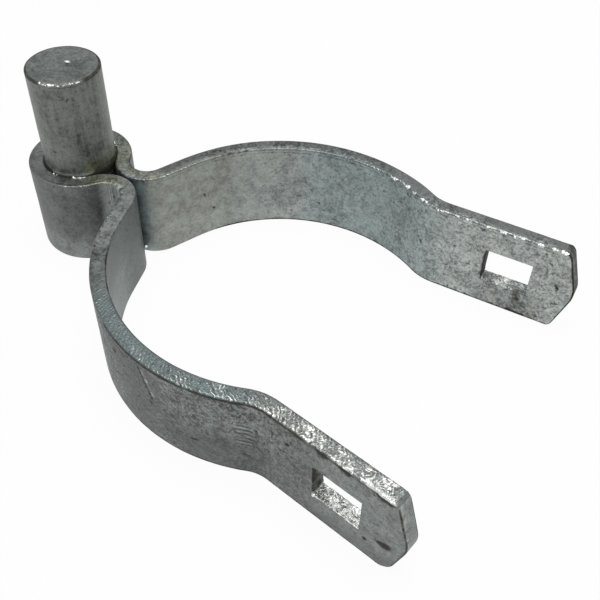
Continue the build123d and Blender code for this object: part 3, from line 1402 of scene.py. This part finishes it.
@dataclass
class Strap:
    """The bar bent round the pin and the post, with a slotted ear at each end."""

    line: BendLine
    width: float
    curve_step: float = 0.25 * MM
    coat: ZincCoat = ZincCoat(
        wave_size=9 * MM, wave_height=0.10 * MM, lump_size=1.5 * MM, lump_height=0.20 * MM, seed=3
    )
    base_tone: float = 0.21
    base_pits: float = 0.30
    dressings: tuple[Dressing, ...] = (
        Dressing(Coat.CRUST, Face.OUTER, (
            Zone(along=(-168, -157), across=(24.8, 25.4), amount=0.4, fade=0.5),
        )),
        Dressing(Coat.CRUST, Face.TOP, (
            Course((
                (-172, 1.05), (-158, 1.0), (-150, 0.78), (-140, 0.74), (-128, 0.64), (-112, 0.56),
                (-104, 0.45), (-86, 0.39), (-78, 0.2), (-70, 0.08), (-55, 0.04), (0, 0.03), (60, 0.06),
                (110, 0.1), (121, 0.34), (127, 0.16), (142, 0.12), (150, 0.36), (156, 0.14), (163, 0.16),
                (168, 0.4),
            )),
        )),
        Dressing(Coat.CRUST, Face.TOP_POST_RIM, (
            Course((
                (-172, 0.0), (-165, -0.2), (-140, -0.35), (-100, -0.3), (-82, -0.2), (-70, 0.0), (36, 0.0),
                (44, 0.7), (54, 0.6), (60, 0.3), (70, 0.15), (75, 0.55), (79, 0.15), (88, 0.2), (92, 0.6),
                (96, 0.3), (104, 0.7), (168, 0.7),
            )),
        )),
        Dressing(Coat.CRUST, Face.TOP_OUTER_RIM, (
            Course((
                (-172, 0.4), (-160, 0.25), (-150, 0.3), (-138, 0.2), (-128, 0.0), (-34, 0.0), (-28, 0.8),
                (-18, 0.35), (-12, 0.1), (-6, 0.0),
            )),
        )),
        Dressing(Coat.CRUST, Face.SLOT, (
            Zone(along=(-172, -120), across=(-1, 8.5), amount=1.3, fade=1),
            Zone(along=(120, 172), across=(-1, 8.5), amount=1.0, fade=1),
        )),
        # Painted shade on the post side: a dark line along the foot and one under the beaded rim; the
        # strokes are small dark marks.
        Dressing(Coat.GRIME, Face.POST, (
            Zone(along=(60, 168), across=(0.3, 0.6), amount=0.72, fade=0.4),
            Zone(along=(46, 166), across=(24.2, 24.4), amount=0.5, fade=0.4),
            Zone(along=(154, 158.5), across=(1, 8), amount=0.42, fade=1.5),
            Stroke(start=(157, 21.7), end=(158, 22.2), amount=0.65, width=1.0),
            Stroke(start=(144.8, 9.0), end=(144.8, 16.6), amount=0.6, width=0.7),
            Stroke(start=(131.0, 21.5), end=(137.0, 20.0), amount=0.45, width=1.0),
            Stroke(start=(57.2, 14.1), end=(57.4, 13.8), amount=0.8, width=0.8),
            Stroke(start=(59.8, 8.6), end=(60.1, 8.2), amount=0.8, width=0.8),
            Stroke(start=(86.0, 9.4), end=(86.5, 9.2), amount=0.7, width=0.8),
            Stroke(start=(91.4, 7.9), end=(92.2, 7.5), amount=0.7, width=0.8),
            Stroke(start=(164.2, 14.3), end=(164.6, 13.8), amount=0.75, width=0.9),
            Stroke(start=(162.0, 2.0), end=(162.9, 1.7), amount=0.7, width=0.9),
            Stroke(start=(154.6, 7.0), end=(155.6, 5.6), amount=0.22, width=1.2),
            Stroke(start=(152.0, 2.6), end=(154.6, 1.6), amount=0.2, width=1.2),
            Stroke(start=(127.0, 13.2), end=(128.0, 12.0), amount=0.6, width=1.1),
        )),
        # Painted shade on the outer side: dark lines under the top rim and along the foot, and the shadows
        # under the zinc drips at the ear; the strokes are small dark marks.
        Dressing(Coat.GRIME, Face.OUTER, (
            Zone(along=(-138, -90), across=(24.5, 25.0), amount=0.8, fade=0.45, along_fade=6),
            Zone(along=(-168, -140), across=(24.4, 24.8), amount=0.6, fade=0.5),
            Zone(along=(-168, -50), across=(0.3, 0.6), amount=0.7, fade=0.4),
            Zone(along=(-147.5, -146), across=(23.2, 24.6), amount=0.5, fade=1),
            Zone(along=(-153.5, -152), across=(23.2, 24.6), amount=0.55, fade=1),
            Zone(along=(-166.5, -162), across=(22.8, 24.2), amount=0.45, fade=1.2),
            Zone(along=(-148, -145), across=(13, 18), amount=0.45, fade=1.5),
            Stroke(start=(-162.2, 8.8), end=(-164.8, 8.9), amount=0.45, width=1.7),
            Stroke(start=(-164.2, 8.6), end=(-166.4, 9.8), amount=0.45, width=2.4),
            Stroke(start=(-159.2, 6.2), end=(-159.4, 6.4), amount=0.8, width=1.1),
            Stroke(start=(-138.1, 19.0), end=(-138.3, 19.7), amount=0.95, width=0.8),
            Stroke(start=(-129.2, 17.0), end=(-129.8, 14.5), amount=0.5, width=1.4),
            Stroke(start=(-129.6, 11.5), end=(-128.9, 10.5), amount=0.45, width=1.6),
            Stroke(start=(-101.6, 23.0), end=(-104.2, 16.0), amount=0.7, width=0.8),
            Stroke(start=(-104.6, 15.0), end=(-104.0, 12.5), amount=0.6, width=0.8),
            Stroke(start=(-114.2, 7.6), end=(-115.5, 7.9), amount=0.7, width=0.9),
        )),
        Dressing(Coat.GRIME, Face.TOP, (
            Zone(along=(-35, -31), amount=0.32, fade=3),
            Zone(along=(31, 36), amount=0.32, fade=3),
            Zone(along=(-149.5, -146), amount=0.3, fade=1.5),
            Zone(along=(-162.4, -160.8), amount=0.4, fade=0.8),
        )),
        # Painted shade: a dark line along this rim of the near half, darkest at two notches.
        Dressing(Coat.GRIME, Face.TOP_POST_RIM, (
            Course((
                (-150, 0.0), (-140, 0.5), (-80, 0.55), (-78, 1.1), (-76, 0.55), (-71, 0.7), (-69, 1.2),
                (-66, 0.65), (-58, 0.5), (-52, 0.0), (61, 0.0), (64, 0.65), (71, 0.65), (73, 0.0),
            )),
        )),
        # Painted shade: a dark line along this rim of the far half.
        Dressing(Coat.GRIME, Face.TOP_OUTER_RIM, (
            Course((
                (20, 0.0), (28, 0.5), (110, 0.4), (124, 0.6), (168, 0.6),
            )),
        )),
        # Painted shade on one wall of each slot.
        Dressing(Coat.GRIME, Face.SLOT, (
            Zone(along=(144.5, 145.5), across=(8.2, 17.6), amount=0.8, fade=0.5),
            Zone(along=(-145.5, -144.5), across=(8.4, 17.6), amount=0.6, fade=0.5),
        )),
        # Painted shade: the end wall of the far tip, and dark lines round both end walls.
        Dressing(Coat.GRIME, Face.TIP, (Zone(along=(150, 172), amount=0.62, fade=1),)),
        Dressing(Coat.GRIME, Face.TIP_RIM, (
            Zone(along=(-172, -150), across=(2, 24), amount=0.7, fade=1),
            Zone(along=(150, 172), amount=0.55, fade=1),
        )),
        Dressing(Coat.TINT, Face.POST, (
            Zone(along=(96, 122), amount=0.6, fade=16),
            Zone(along=(36, 40), amount=0.9, fade=3),
            Zone(along=(-80, -48), amount=0.2, fade=10),
            Zone(along=(46, 62), amount=-0.2, fade=10),
        )),
        Dressing(Coat.TINT, Face.TOP, (
            Zone(along=(-120, -84), amount=0.65, fade=14),
            Zone(along=(-36, -30), amount=-0.6, fade=4),
            Zone(along=(26, 42), amount=-0.5, fade=4),
        )),
        # Painted light: the post side of the far half is made lighter, standing in for the light it reflects
        # from the floor and the near arm.
        Dressing(Coat.TONE, Face.POST, (
            Course((
                (-60, 0.0), (-34, 0.05), (34, 0.05), (40, 0.28), (121, 0.29), (134, 0.58), (150, 0.58),
                (166, 0.46),
            )),
            Zone(along=(146, 160), across=(0, 5), amount=-0.22, fade=4),
            Zone(along=(72, 104), amount=0.06, fade=12),
            Zone(along=(-80, -61), across=(-1, 9), amount=0.2, fade=11),
            Zone(along=(-49, -40), across=(17, 26), amount=-0.06, fade=8),
        )),
        # Lighter and darker patches on the outer side: partly the zinc's own tone, partly painted light and
        # shade.
        Dressing(Coat.TONE, Face.OUTER, (
            Zone(along=(-44, -33), amount=0.17, fade=3),
            Zone(along=(-14, 8), amount=-0.06, fade=5),
            Zone(along=(-100, -72), amount=-0.08, fade=10),
            Zone(along=(-142, -106), amount=0.035, fade=8),
            Zone(along=(-130, -112), across=(-1, 8), amount=-0.085, fade=6),
            Zone(along=(-132, -109), across=(18, 26), amount=0.08, fade=7),
            Zone(along=(-30, -23), across=(9, 19), amount=-0.06, fade=5),
            Zone(along=(-30, -14), across=(-1, 5), amount=0.13, fade=5),
            Zone(along=(-172, -150), across=(8, 24), amount=0.15, fade=7),
            Zone(along=(-129.2, -128.6), across=(12.2, 16.4), amount=-0.07, fade=0.8),
            Stroke(start=(-102.4, 22.6), end=(-104.9, 16.2), amount=0.4, width=0.8),
        )),
        # Painted shade: the top edge is made a little darker all over.
        Dressing(Coat.TONE, Face.TOP, (
            Zone(along=(-180, 180), amount=-0.04),
            Zone(along=(-62, -30), amount=0.08, fade=6),
            Zone(along=(50, 112), amount=-0.05, fade=6),
            Zone(along=(26, 42), amount=0.06, fade=4),
        )),
        # Painted light: the end wall of the near tip is made lighter.
        Dressing(Coat.TONE, Face.TIP, (Zone(along=(-172, -150), amount=0.21, fade=1),)),
        Dressing(Coat.PITS, Face.POST, (
            Zone(along=(30, 72), amount=-0.16, fade=8),
            Zone(along=(86, 118), amount=0.08, fade=10),
            Zone(along=(122, 172), amount=0.22, fade=10),
        )),
        Dressing(Coat.PITS, Face.OUTER, (
            Zone(along=(-140, -55), amount=0.45, fade=10),
            Zone(along=(-172, -150), amount=0.1, fade=10),
            Zone(along=(-124, -115), across=(2, 10), amount=-0.32, fade=5),
        )),
        Dressing(Coat.PITS, Face.TOP, (
            Zone(along=(24, 44), amount=0.35, fade=5),
            Zone(along=(60, 172), amount=0.4, fade=5),
        )),
        Dressing(Coat.PRESS, Face.OUTER, (
            Zone(along=(-127.4, -125), across=(11.4, 17.0), amount=1.0, fade=1.4),
        )),
        Dressing(Coat.FOLDS, Face.OUTER, (Zone(along=(-43, -35), amount=1.3, fade=2),)),
    )

    def build(self, trees: ZincTrees, material: bpy.types.Material) -> Piece:
        """Bend the bar and coat it.

        Args:
            trees: the Geometry Nodes trees.
            material: the strap's finish.

        Returns:
            The finished piece.
        """
        bar = FlatBar(self.line.half_length, self.width, self.line.thickness)
        piece = new_piece("galvanised_strap", bar.vertices, bar.faces)
        bases = {Coat.TONE: self.base_tone, Coat.PITS: self.base_pits}
        write_coats(piece.data, add_coats(bar, bases, self.dressings), bar.places)
        guide = self.line.curve(self.curve_step)
        run_tree(piece, trees.bend, {
            "Bend Line": guide,
            "Half Length": self.line.half_length,
            "Material": material,
        })
        self.coat.lay(piece, trees, material)
        bpy.data.objects.remove(guide)
        return piece


@dataclass
class Pin:
    """The round pin: a seat held in the strap's eye and a journal above it.

    Its coats are laid in degrees along, counter-clockwise from +X, and in millimetres across, from the foot.
    """

    centre: Vector
    foot: float
    seat_top: float
    top: float
    seat_radius: float
    journal_radius: float
    foot_chamfer: float = 1.0 * MM
    rim_round: float = 0.55 * MM
    rim_points: int = 6
    collar_height: float = 0.7 * MM
    collar_reach: float = 0.12 * MM
    collar_points: int = 7
    pole_radius: float = 0.6 * MM
    ring_step: float = 0.45 * MM
    hidden_step: float = 1.35 * MM
    crown_band: Span = (1.1 * MM, 0.33 * MM)
    spokes: int = 180
    seam: float = 123.0
    coat: ZincCoat = ZincCoat(
        wave_size=7 * MM, wave_height=0.12 * MM, lump_size=1.6 * MM, lump_height=0.30 * MM, seed=11
    )
    base_tone: float = 0.26
    base_pits: float = 0.24
    base_tint: float = -0.16
    dressings: tuple[Dressing, ...] = (
        Dressing(Coat.CRUST, Face.CROWN_RIM, (
            Course((
                (123, 0.1), (272, 0.15), (284, 0.6), (300, 0.75), (318, 0.5), (335, 0.8), (352, 0.35),
                (380, 0.1),
            )),
        )),
        # Painted shade: the dark ring where the pin meets the eye, darkest at two crescents. The brown patch
        # from 346 to 372 degrees and the small marks higher up are stains.
        Dressing(Coat.GRIME, Face.SIDE, (
            Zone(along=(284, 312), across=(48.6, 50.6), amount=0.45, fade=1.5, along_fade=8),
            Zone(along=(346, 372), across=(24, 25.8), amount=0.7, fade=3.5, along_fade=24),
            Zone(along=(236, 262), across=(24, 25.8), amount=0.9, fade=0.5, along_fade=6),
            Zone(along=(376, 400), across=(24, 25.9), amount=0.9, fade=0.6, along_fade=6),
            Zone(along=(123, 483), across=(24, 25.5), amount=0.55, fade=0.5),
            Zone(along=(292, 298), across=(42.6, 43.0), amount=0.5, fade=0.6, along_fade=5),
            Zone(along=(325, 329), across=(35.2, 35.6), amount=0.5, fade=0.6, along_fade=5),
        )),
        # Painted shade: the rim of the pin's top is darker all round except at its front.
        Dressing(Coat.GRIME, Face.CROWN_RIM, (
            Course((
                (123, 0.75), (272, 0.7), (284, 0.25), (335, 0.2), (352, 0.75),
            )),
        )),
        Dressing(Coat.TINT, Face.SIDE, (
            Zone(along=(335, 385), across=(24, 27), amount=-0.7, fade=4, along_fade=20),
        )),
        Dressing(Coat.TINT, Face.CROWN, (Zone(along=(100, 500), amount=0.3),)),
        # Painted light: the pin's side from 205 to 255 degrees is made lighter.
        Dressing(Coat.TONE, Face.SIDE, (Zone(along=(205, 255), amount=0.03, along_fade=20),)),
        Dressing(Coat.TONE, Face.CROWN, (Zone(along=(100, 500), amount=-0.11),)),
        Dressing(Coat.PITS, Face.CROWN, (Zone(along=(100, 500), amount=0.15),)),
        Dressing(Coat.FOLDS, Face.SIDE, (Zone(along=(100, 500), across=(26, 60), amount=0.32, fade=1),)),
    )

    def __post_init__(self) -> None:
        """Set out the rings of vertices, then the middles of the foot and of the top."""
        profile = self.profile()
        degrees = self.seam + np.linspace(0.0, 360.0, self.spokes, endpoint=False)
        self.rings = len(profile)
        self.along = np.append(np.tile(degrees, self.rings), [self.seam, self.seam])
        self.radius = np.append(np.repeat(profile[:, 0], self.spokes), [0.0, 0.0])
        self.height = np.append(np.repeat(profile[:, 1], self.spokes), [self.foot, self.top])
        self.across = self.height / MM

    def profile(self) -> np.ndarray:
        """Draw half of the pin's section.

        Returns:
            Its points as radius and height, from the middle of the foot to the middle of the top.
        """
        quarter = np.linspace(0.0, math.pi / 2, self.rim_points)
        rim_radius = self.journal_radius - self.rim_round * (1.0 - np.cos(quarter))
        rim_height = self.top - self.rim_round * (1.0 - np.sin(quarter))
        flat = spread(self.pole_radius, self.journal_radius - self.rim_round, self.ring_step)[::-1]
        sole = spread(self.pole_radius, self.seat_radius - self.foot_chamfer, self.hidden_step)
        seat = spread(self.foot + self.foot_chamfer, self.seat_top - self.collar_height, self.hidden_step)
        journal = spread(self.seat_top + self.collar_height, self.top - self.rim_round, self.ring_step)
        collar = np.linspace(0.0, 1.0, self.collar_points)
        collar_bulge = self.collar_reach * np.sin(math.pi * collar)
        collar_radius = self.seat_radius + (self.journal_radius - self.seat_radius) * collar + collar_bulge
        collar_height = self.seat_top + self.collar_height * (2 * collar - 1)
        return np.concatenate([
            np.column_stack([sole, np.full(len(sole), self.foot)]),
            [[self.seat_radius - self.foot_chamfer, self.foot]],
            np.column_stack([np.full(len(seat), self.seat_radius), seat]),
            np.column_stack([collar_radius, collar_height])[:-1],
            np.column_stack([np.full(len(journal), self.journal_radius), journal]),
            np.column_stack([rim_radius, rim_height]),
            np.column_stack([flat, np.full(len(flat), self.top)]),
        ])

    def build(self, trees: ZincTrees, material: bpy.types.Material) -> Piece:
        """Turn the pin and coat it.

        Args:
            trees: the Geometry Nodes trees.
            material: the pin's finish.

        Returns:
            The finished piece.
        """
        angles = np.radians(self.along)
        vertices = np.column_stack([
            self.centre.x + self.radius * np.cos(angles),
            self.centre.y + self.radius * np.sin(angles),
            self.height,
        ])
        ring = np.arange(self.rings * self.spokes).reshape(self.rings, self.spokes)
        turned = np.roll(ring, -1, axis=1)
        quads = np.stack([ring[:-1], turned[:-1], turned[1:], ring[1:]], axis=-1).reshape(-1, 4)
        foot_fan = [(ring.size, b, a) for a, b in zip(ring[0].tolist(), turned[0].tolist())]
        top_fan = [(ring.size + 1, a, b) for a, b in zip(ring[-1].tolist(), turned[-1].tolist())]
        piece = new_piece("galvanised_pin", vertices, quads.tolist() + foot_fan + top_fan)
        bases = {Coat.TONE: self.base_tone, Coat.PITS: self.base_pits, Coat.TINT: self.base_tint}
        turned_flat = np.column_stack([self.radius * angles, self.radius, self.height])
        write_coats(piece.data, add_coats(self, bases, self.dressings), turned_flat)
        self.coat.lay(piece, trees, material)
        return piece

    def share_of(self, face: Face) -> np.ndarray:
        """Say how much each vertex belongs to a face of the pin.

        Args:
            face: the face.

        Returns:
            The shares, from 0 to 1.
        """
        rim = self.journal_radius - self.rim_round
        inside = 1.0 - rise(self.radius, rim - self.rim_round, rim)
        low, full = self.crown_band
        high = rise(self.height, self.top - low, self.top - full)
        if face is Face.CROWN:
            return inside * high
        if face is Face.CROWN_RIM:
            return (1.0 - inside) * high
        return 1.0 - inside


@dataclass
class ZincBeads:
    """Drops of zinc: round the pin's foot and rim, along the far ear's rim, and three single ones.

    The arcs are in degrees round the pin, and the rows in millimetres from the back of the eye.
    """

    line: BendLine
    pin: Pin
    ring_gap: float = 0.3 * MM
    ring_sink: float = 0.05 * MM
    bridges: tuple[Span, ...] = ((269, 277), (303, 322), (60, 75), (150, 172))
    rim_arcs: tuple[Span, ...] = ((280, 287), (291, 303), (309, 312), (326, 331), (336, 342))
    rim_inset: float = 0.22 * MM
    bead_degrees: float = 2.0
    bead_radius: float = 0.31 * MM
    ear_radius: float = 0.46 * MM
    jitter: float = 0.14 * MM
    size_swing: Span = (0.6, 1.3)
    ear_rows: tuple[Span, ...] = (
        (114, 116.5), (119, 121), (122.5, 124), (126, 129), (131, 133), (135.5, 136.5), (138.5, 140),
        (142, 145), (147.5, 149), (151, 154), (157, 158.5), (161, 165),
    )
    ear_step: float = 0.7
    ear_inset: float = 0.25 * MM
    pip_place: Span = (0.25 * MM, 1.6 * MM)
    pip_radius: float = 0.85 * MM
    drip_place: Triple = (-46.9 * MM, 0.75 * MM, 1.9 * MM)
    drip_radius: float = 0.7 * MM
    slot_place: Span = (145.5 * MM, 8.1 * MM)
    slot_radius: float = 0.45 * MM
    tone: float = 1.0
    seed: int = 5

    def circle(self, arcs: tuple[Span, ...], radius: float, height: float) -> np.ndarray:
        """Set points on arcs of a level circle round the pin.

        Args:
            arcs: each arc's start and end.
            radius: the circle's radius.
            height: its height.

        Returns:
            The points.
        """
        angles = np.radians(np.concatenate([spread(*arc, self.bead_degrees) for arc in arcs]))
        around = np.array(self.pin.centre.xy) + radius * np.column_stack([np.cos(angles), np.sin(angles)])
        return np.column_stack([around, np.full(len(angles), height)])

    def build(self, trees: ZincTrees, material: bpy.types.Material) -> Piece:
        """Place the beads and make them one mesh.

        Args:
            trees: the Geometry Nodes trees.
            material: the beads' finish.

        Returns:
            The finished piece.
        """
        pin = self.pin
        chance = np.random.default_rng(self.seed)
        along = np.concatenate([spread(*row, self.ear_step) for row in self.ear_rows]) * MM
        ear = self.line.far_places(along, self.ear_inset - self.line.thickness / 2)
        small = np.concatenate([
            self.circle(self.bridges, pin.seat_radius + self.ring_gap, pin.seat_top - self.ring_sink),
            self.circle(self.rim_arcs, pin.journal_radius - self.rim_inset, pin.top - self.rim_inset),
            np.column_stack([ear, np.full(len(ear), pin.seat_top - self.ear_inset)]),
        ])
        middling = np.full(len(small), self.bead_radius)
        middling[-len(ear):] = self.ear_radius
        small += chance.uniform(-self.jitter, self.jitter, small.shape)
        sizes = middling * chance.uniform(*self.size_swing, len(small))

        pip = [*(pin.centre.xy + Vector(self.pip_place)), pin.top]
        slot_along, slot_height = self.slot_place
        slot_plan = self.line.far_places(np.array([slot_along]), self.line.thickness / 2)[0] * [1.0, -1.0]
        points = np.concatenate([small, [pip, self.drip_place, [*slot_plan, slot_height]]])
        radii = np.append(sizes, [self.pip_radius, self.drip_radius, self.slot_radius])
        piece = new_piece("zinc_beads", points, [])
        write_coats(piece.data, {Coat.TONE: np.full(len(points), self.tone)}, points)
        store(piece.data, BEAD_ATTRIBUTE, radii)
        run_tree(piece, trees.beads, {"Seed": self.seed, "Material": material})
        settle(piece)
        return piece


@dataclass
class Studio:
    """A pale floor, soft light from above, and the camera."""

    floor_size: float = 6.0
    floor_drop: float = 0.06 * MM
    floor_colour: Colour = (0.9, 0.9, 0.9, 1.0)
    white: Colour = (1.0, 1.0, 1.0, 1.0)
    white_share: float = 0.95
    sky_strength: float = 0.4
    overhead_height: float = 0.75
    overhead_size: float = 0.5
    overhead_power: float = 3.4
    camera_azimuth: float = math.radians(-56.926)
    camera_elevation: float = math.radians(46.208)
    camera_roll: float = math.radians(-1.647)
    camera_target: Triple = (5.756 * MM, -0.267 * MM, 12.7 * MM)
    camera_distance: float = 210.208 * MM
    camera_near: float = 10 * MM
    focal_pixels: float = 852.856
    frame_pixels: int = 600

    def build(self) -> None:
        """Set up the floor, the light and the camera."""
        self.build_floor()
        self.build_world()
        self.build_lamp()
        self.build_camera()
        bpy.context.scene.view_settings.view_transform = "Standard"

    @staticmethod
    def seen_share(sheet: NodeSheet) -> Wire:
        """Tell the rays that see a surface from those that only light it.

        Args:
            sheet: the sheet of a material or world.

        Returns:
            1 where a ray from the camera, a reflection or a clear surface arrives, and 0 elsewhere.
        """
        path = sheet.add("ShaderNodeLightPath").outputs
        seen = sheet.math("MAXIMUM", path["Is Camera Ray"], path["Is Glossy Ray"])
        return sheet.math("MAXIMUM", seen, path["Is Transmission Ray"])

    def build_floor(self) -> None:
        """Lay the floor, which looks white but keeps the object's shadow."""
        half = self.floor_size / 2
        corners = np.array([(-half, -half), (half, -half), (half, half), (-half, half)])
        level = np.full(len(corners), -self.floor_drop)
        floor = new_piece("floor", np.column_stack([corners, level]), [(0, 1, 2, 3)])
        material = bpy.data.materials.new("pale_floor")
        sheet = NodeSheet.blank(material)
        share = sheet.times(self.seen_share(sheet), self.white_share)
        matt = sheet.output("ShaderNodeBsdfDiffuse", {"Color": self.floor_colour})
        white = sheet.output("ShaderNodeEmission", {"Color": self.white, "Strength": 1.0})
        mixed = sheet.output("ShaderNodeMixShader", {0: share, 1: matt, 2: white})
        sheet.add("ShaderNodeOutputMaterial", {"Surface": mixed})
        floor.data.materials.append(material)

    def build_world(self) -> None:
        """Make the world white to look at and soft as a light."""
        world = bpy.data.worlds.new("white_surround")
        sheet = NodeSheet.blank(world)
        strength = sheet.mix_value(self.seen_share(sheet), self.sky_strength, 1.0)
        light = sheet.output("ShaderNodeBackground", {"Color": self.white, "Strength": strength})
        sheet.add("ShaderNodeOutputWorld", {"Surface": light})
        bpy.context.scene.world = world

    def build_lamp(self) -> None:
        """Hang one soft lamp above the object."""
        data = bpy.data.lights.new("overhead", "AREA")
        data.energy = self.overhead_power
        data.size = self.overhead_size
        new_object("overhead", data).location = (0.0, 0.0, self.overhead_height)

    def build_camera(self) -> None:
        """Stand the camera where the object is seen as in the photograph."""
        level = math.cos(self.camera_elevation)
        look = Vector((
            -level * math.cos(self.camera_azimuth),
            -level * math.sin(self.camera_azimuth),
            -math.sin(self.camera_elevation),
        ))
        right = look.cross(Vector((0.0, 0.0, 1.0))).normalized()
        down = look.cross(right)
        cosine, sine = math.cos(self.camera_roll), math.sin(self.camera_roll)
        axis_x = cosine * right + sine * down
        axis_y = sine * right - cosine * down
        place = Vector(self.camera_target) - self.camera_distance * look
        turn = Matrix((axis_x, axis_y, -look)).transposed()
        data = bpy.data.cameras.new("camera")
        data.lens = data.sensor_width * self.focal_pixels / self.frame_pixels
        data.clip_start = self.camera_near
        camera = new_object("camera", data)
        camera.matrix_world = Matrix.Translation(place) @ turn.to_4x4()
        bpy.context.scene.camera = camera


def main() -> None:
    """Build the hinge's pieces around the frame, and light them."""
    logging.basicConfig(level=logging.INFO, format="%(name)s: %(message)s")
    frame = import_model()
    mounts = {mount["name"]: mount for mount in frame["record"]["mounts"]}
    strap_low, strap_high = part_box("strap")
    pin_low, pin_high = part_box("pin")
    bow_inside_radius = mounts["post_clamp"]["dims"]["r_mm"] * MM
    width = strap_high.z - strap_low.z
    groups = ZincGroups()
    trees = ZincTrees()

    line = BendLine(
        pin_radius=(pin_high.x - pin_low.x) / 2,
        bow_inside_radius=bow_inside_radius,
        thickness=strap_high.y - bow_inside_radius,
    )
    strap = Strap(line, width).build(trees, GalvanisedFinish("strap_zinc").material(groups))
    pin = Pin(
        centre=Vector(mounts["pintle"]["pos_m"]),
        foot=pin_low.z,
        seat_top=width,
        top=pin_high.z,
        seat_radius=line.pin_radius,
        journal_radius=mounts["pintle"]["dims"]["r_mm"] * MM,
    )
    pin_zinc = GalvanisedFinish("pin_zinc", patch_swing=0.4, tear_size=0.8 * MM).material(groups)
    turned = pin.build(trees, pin_zinc)
    bead_zinc = GalvanisedFinish("bead_zinc", pale=(0.68, 0.69, 0.68, 1.0), dull_roughness=0.30)
    beads = ZincBeads(line, pin).build(trees, bead_zinc.material(groups))

    for piece, node, slot in (
        (strap, "strap", "strap_zinc"),
        (turned, "pin", "pin_zinc"),
        (beads, None, "pin_zinc"),
    ):
        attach(piece, "root")
        if node:
            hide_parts(node)
        LOG.info("%s: %d faces", piece.name, len(piece.data.polygons))
    Studio().build()


if __name__ == "__main__":
    main()
